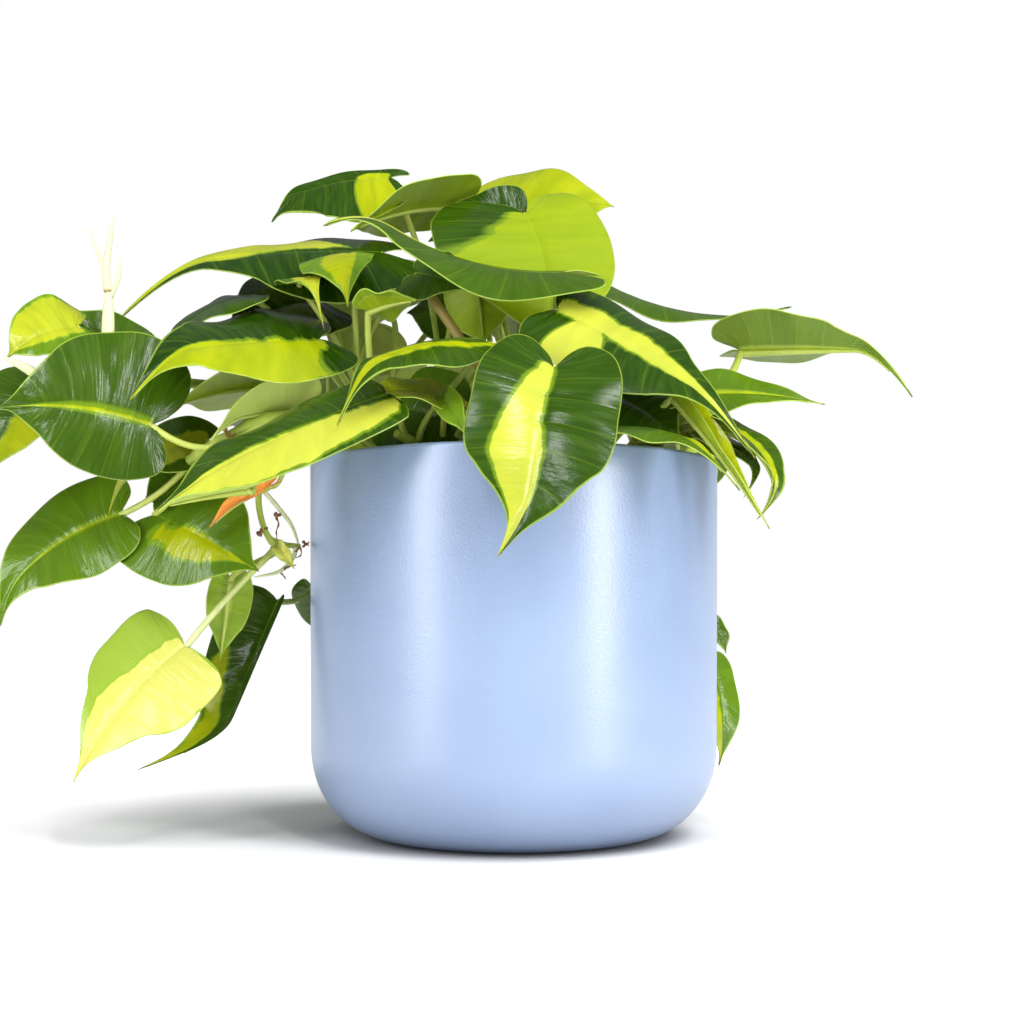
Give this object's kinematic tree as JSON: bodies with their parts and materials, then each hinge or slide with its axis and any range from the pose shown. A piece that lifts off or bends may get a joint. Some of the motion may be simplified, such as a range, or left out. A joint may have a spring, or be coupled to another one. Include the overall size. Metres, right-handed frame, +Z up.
{
  "type": "potted brasil philodendron",
  "caption": "Trailing houseplant with heart-shaped green and lime leaves on stalked stems, standing in soil in a plain round-bottomed blue pot",
  "frame": {"origin": "middle of the pot's flat base, on the surface it stands on", "axes": "+Z up along the pot's axis, the picture's front faces -Y, +X is to the right in the picture"},
  "size_m": [0.3103, 0.1956, 0.2461],
  "materials": {
    "pot": "satin powder-blue coat with a fine orange-peel texture",
    "soil": "rough, moist potting mix",
    "plant": "waxy upper face, matte underside"
  },
  "bodies": {
    "root": {"pot": "pot", "soil": "soil", "front_stem": "plant", "right_stem": "plant", "top_stem": "plant", "upper_left_stem": "plant", "left_front_stem": "plant", "left_mid_stem": "plant", "left_trailing_stem": "plant", "dropping_stem": "plant", "back_left_stem": "plant", "back_stem": "plant", "back_right_stem": "plant", "right_trailing_stem": "plant", "left_trailing_back_stem": "plant"}
  },
  "joints": []
}
